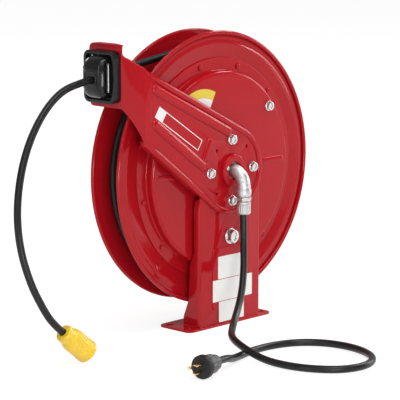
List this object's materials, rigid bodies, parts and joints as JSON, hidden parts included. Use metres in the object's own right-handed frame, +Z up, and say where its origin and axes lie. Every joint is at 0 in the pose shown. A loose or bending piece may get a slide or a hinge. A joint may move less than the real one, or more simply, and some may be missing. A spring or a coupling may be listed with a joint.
{
  "type": "extension cord reel",
  "caption": "Spring-driven cord reel on a pedestal, with wound cord between pressed discs, a guide arm with rollers, a lead with a plug and a tail with a connector.",
  "frame": {"origin": "centre of the slot pattern in the base plate, at its underside", "axes": "+X along the discs away from the roller guide, +Y along the spool's axis from the hub side to the back, +Z up"},
  "size_m": [0.6469, 0.4416, 0.465],
  "materials": {
    "red_paint": "glossy red powder coat",
    "black_housing": "gloss black moulding",
    "black_roller": "gloss black roller",
    "cord_rubber": "satin black jacket",
    "zinc": "bright zinc plate",
    "galvanized": "galvanized",
    "steel": "turned steel",
    "bronze": "sintered bronze",
    "brass": "bright brass",
    "yellow_plastic": "yellow moulding",
    "black_plastic": "black moulding",
    "gray_plastic": "gray moulding",
    "spring_steel": "blued spring steel"
  },
  "bodies": {
    "stand": {"base_plate": "red_paint", "pedestal": "red_paint", "guide_arm": "red_paint", "arm_screws": "zinc", "main_shaft": "steel", "shaft_retaining_ring": "spring_steel", "hub_collar": "red_paint", "collar_screw": "zinc", "elbow": "galvanized", "inner_lead": "cord_rubber", "cord_grip_body": "galvanized", "cord_grip_nut": "galvanized", "cord_grip_gland": "cord_rubber", "pawl_pivot_bolt": "zinc", "pawl_push_nut": "spring_steel", "pawl_spring": "spring_steel", "spring_arbor": "steel", "slip_ring_core": "black_plastic", "slip_rings": "brass", "guide_bezel": "black_housing", "guide_screws": "zinc", "guide_nose": "black_housing", "roller_pins": "steel", "cord_run_on": "cord_rubber", "tail_cord": "cord_rubber", "lead_cord": "cord_rubber", "connector_body": "yellow_plastic", "connector_face": "yellow_plastic", "connector_screws": "zinc", "plug_body": "gray_plastic", "plug_cap": "black_plastic", "plug_blades": "brass"},
    "spool": {"front_disc": "red_paint", "rear_disc": "red_paint", "drum": "red_paint", "tie_bolts": "zinc", "front_hub": "steel", "rear_hub": "steel", "rear_hub_screws": "zinc", "front_bush": "bronze", "rear_bush": "bronze", "spring_case": "red_paint", "case_screws": "red_paint", "spring_anchor_bolt": "zinc", "main_spring": "spring_steel", "ratchet_ring": "steel", "brushes": "brass", "brush_block": "black_plastic", "rear_cap": "black_plastic", "rear_cap_screws": "zinc", "cord_clamp": "black_plastic", "wound_core": "cord_rubber", "wound_cord": "cord_rubber"},
    "latch_pawl": {"latch_pawl": "steel"},
    "top_roller": {"top_roller": "black_roller"},
    "bottom_roller": {"bottom_roller": "black_roller"},
    "near_roller": {"near_roller": "black_roller"},
    "far_roller": {"far_roller": "black_roller"}
  },
  "joints": [
    {"name": "spool_spin", "type": "hinge", "parent": "stand", "child": "spool", "pos_m": [0, 0, 0.248], "axis": [0, 1, 0], "continuous": true},
    {"name": "pawl_swing", "type": "hinge", "parent": "stand", "child": "latch_pawl", "pos_m": [0, -0.0206, 0.142], "axis": [0, 1, 0], "range_deg": [0, 45], "stiffness_Nm_per_rad": 0.05},
    {"name": "top_roller_spin", "type": "hinge", "parent": "stand", "child": "top_roller", "pos_m": [-0.2355, 0.029, 0.4228], "axis": [0, 1, 0], "continuous": true},
    {"name": "bottom_roller_spin", "type": "hinge", "parent": "stand", "child": "bottom_roller", "pos_m": [-0.2355, 0.029, 0.3952], "axis": [0, 1, 0], "continuous": true},
    {"name": "near_roller_spin", "type": "hinge", "parent": "stand", "child": "near_roller", "pos_m": [-0.2225, 0.013, 0.409], "axis": [0, 0, 1], "continuous": true},
    {"name": "far_roller_spin", "type": "hinge", "parent": "stand", "child": "far_roller", "pos_m": [-0.2225, 0.045, 0.409], "axis": [0, 0, 1], "continuous": true}
  ]
}
